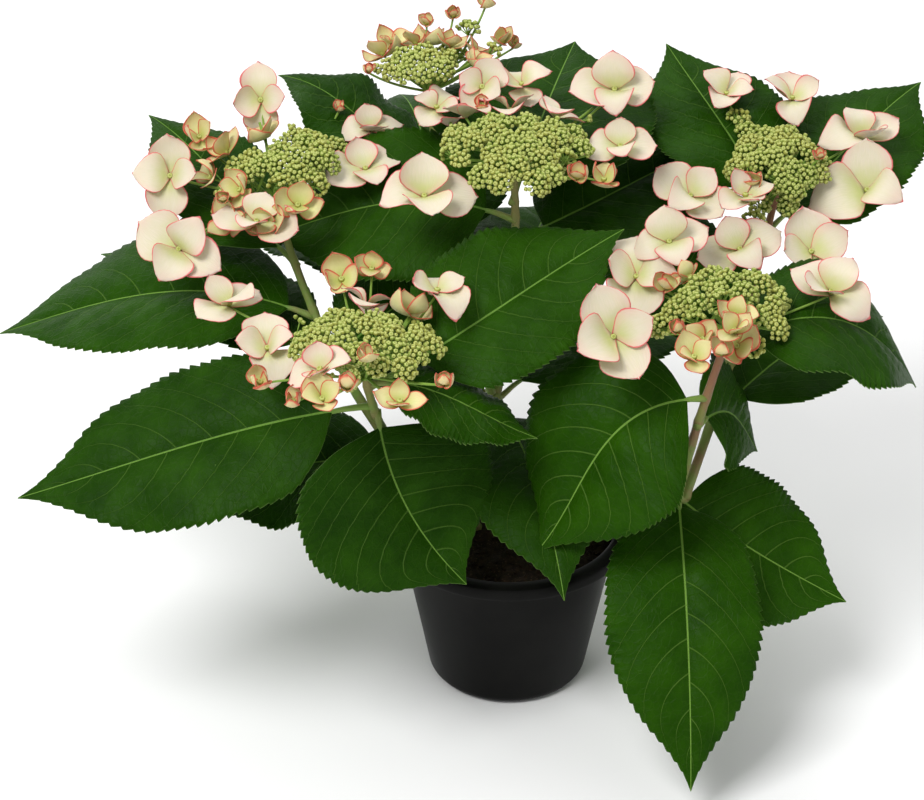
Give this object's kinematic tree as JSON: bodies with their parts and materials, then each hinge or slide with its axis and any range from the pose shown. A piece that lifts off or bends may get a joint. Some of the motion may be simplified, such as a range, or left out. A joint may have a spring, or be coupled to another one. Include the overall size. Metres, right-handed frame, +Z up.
{
  "type": "potted lacecap hydrangea shrub",
  "caption": "Low spreading lacecap hydrangea in a round nursery pot, with flat flower heads ringed by large cream florets above broad serrated leaves.",
  "frame": {"origin": "centre of the pot's underside, at the level it stands on", "axes": "+Z up; the front of the plant is -Y, and +X is to the right seen from the front"},
  "size_m": [0.547, 0.4123, 0.3599],
  "materials": {
    "pot_plastic": "satin black moulded polypropylene",
    "compost": "moist dark brown peat-like compost",
    "woody_stem": "young bark, green turning to buff-brown",
    "green_shoot": "smooth soft green growth, flushed red-brown near the flowers",
    "leaf": "satin dark green leaf with paler veins",
    "blossom": "matt cream florets with a fine pink edge, and yellow-green buds"
  },
  "bodies": {
    "root": {"pot": "pot_plastic", "compost": "compost", "stem_left": "woody_stem", "stem_right": "woody_stem", "stem_back": "woody_stem", "shoot_left": "green_shoot", "shoot_front": "green_shoot", "shoot_right": "green_shoot", "shoot_right_back": "green_shoot", "shoot_centre": "green_shoot", "shoot_back": "green_shoot", "leaf_hanging": "leaf", "leaf_right_low": "leaf", "leaf_over_pot": "leaf", "leaf_right_inner": "leaf", "leaf_right_upper": "leaf", "leaf_left_long": "leaf", "leaf_left_low": "leaf", "leaf_front": "leaf", "leaf_front_right": "leaf", "leaf_middle": "leaf", "leaf_centre_left": "leaf", "leaf_centre_right": "leaf", "leaf_top_back": "leaf", "leaf_back_right": "leaf", "leaf_top_left": "leaf", "leaf_left_back": "leaf", "leaf_right_far": "leaf", "leaf_under_left": "leaf", "leaf_under_front": "leaf", "leaf_pot_front": "leaf", "leaf_left_inner": "leaf", "leaf_left_behind": "leaf", "leaf_behind_middle": "leaf", "leaf_rear_left": "leaf", "leaf_rear_right": "leaf", "leaf_rear_high": "leaf", "leaf_rear_side_left": "leaf", "leaf_rear_side_right": "leaf", "leaf_rear_middle": "leaf", "head_back": "blossom", "head_left": "blossom", "head_centre": "blossom", "head_right_back": "blossom", "head_right": "blossom", "head_front": "blossom"}
  },
  "joints": []
}
